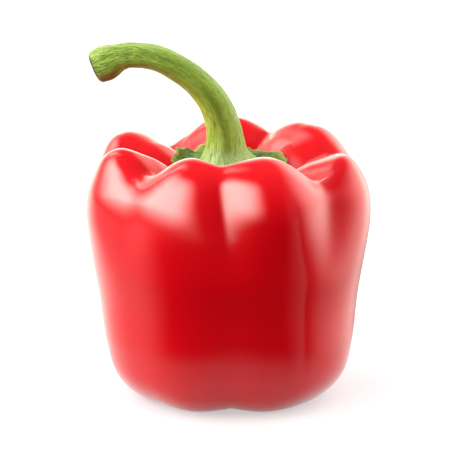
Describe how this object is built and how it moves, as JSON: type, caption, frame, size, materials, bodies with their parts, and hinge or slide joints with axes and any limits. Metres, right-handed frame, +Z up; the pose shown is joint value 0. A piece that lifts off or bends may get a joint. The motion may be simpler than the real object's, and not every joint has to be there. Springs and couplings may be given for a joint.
{
  "type": "bell pepper",
  "caption": "Whole lobed red bell pepper standing on its base, with a glossy creased skin, a leafy green cap and a bent, ribbed green stem.",
  "frame": {"origin": "under the middle of the whole pepper, on the surface that it stands on", "axes": "+Z up through the fruit towards the stem, +X to the right as the stem bends over to the left, +Y to the back"},
  "size_m": [0.0862, 0.084, 0.1089],
  "materials": {
    "fruit_skin": "very glossy deep red pepper skin",
    "calyx_leaf": "matt mid green, crumpled leaf",
    "stem_skin": "satin yellow green, ribbed, browner at the cut end"
  },
  "bodies": {
    "root": {"fruit": "fruit_skin", "calyx": "calyx_leaf", "stem": "stem_skin"}
  },
  "joints": []
}
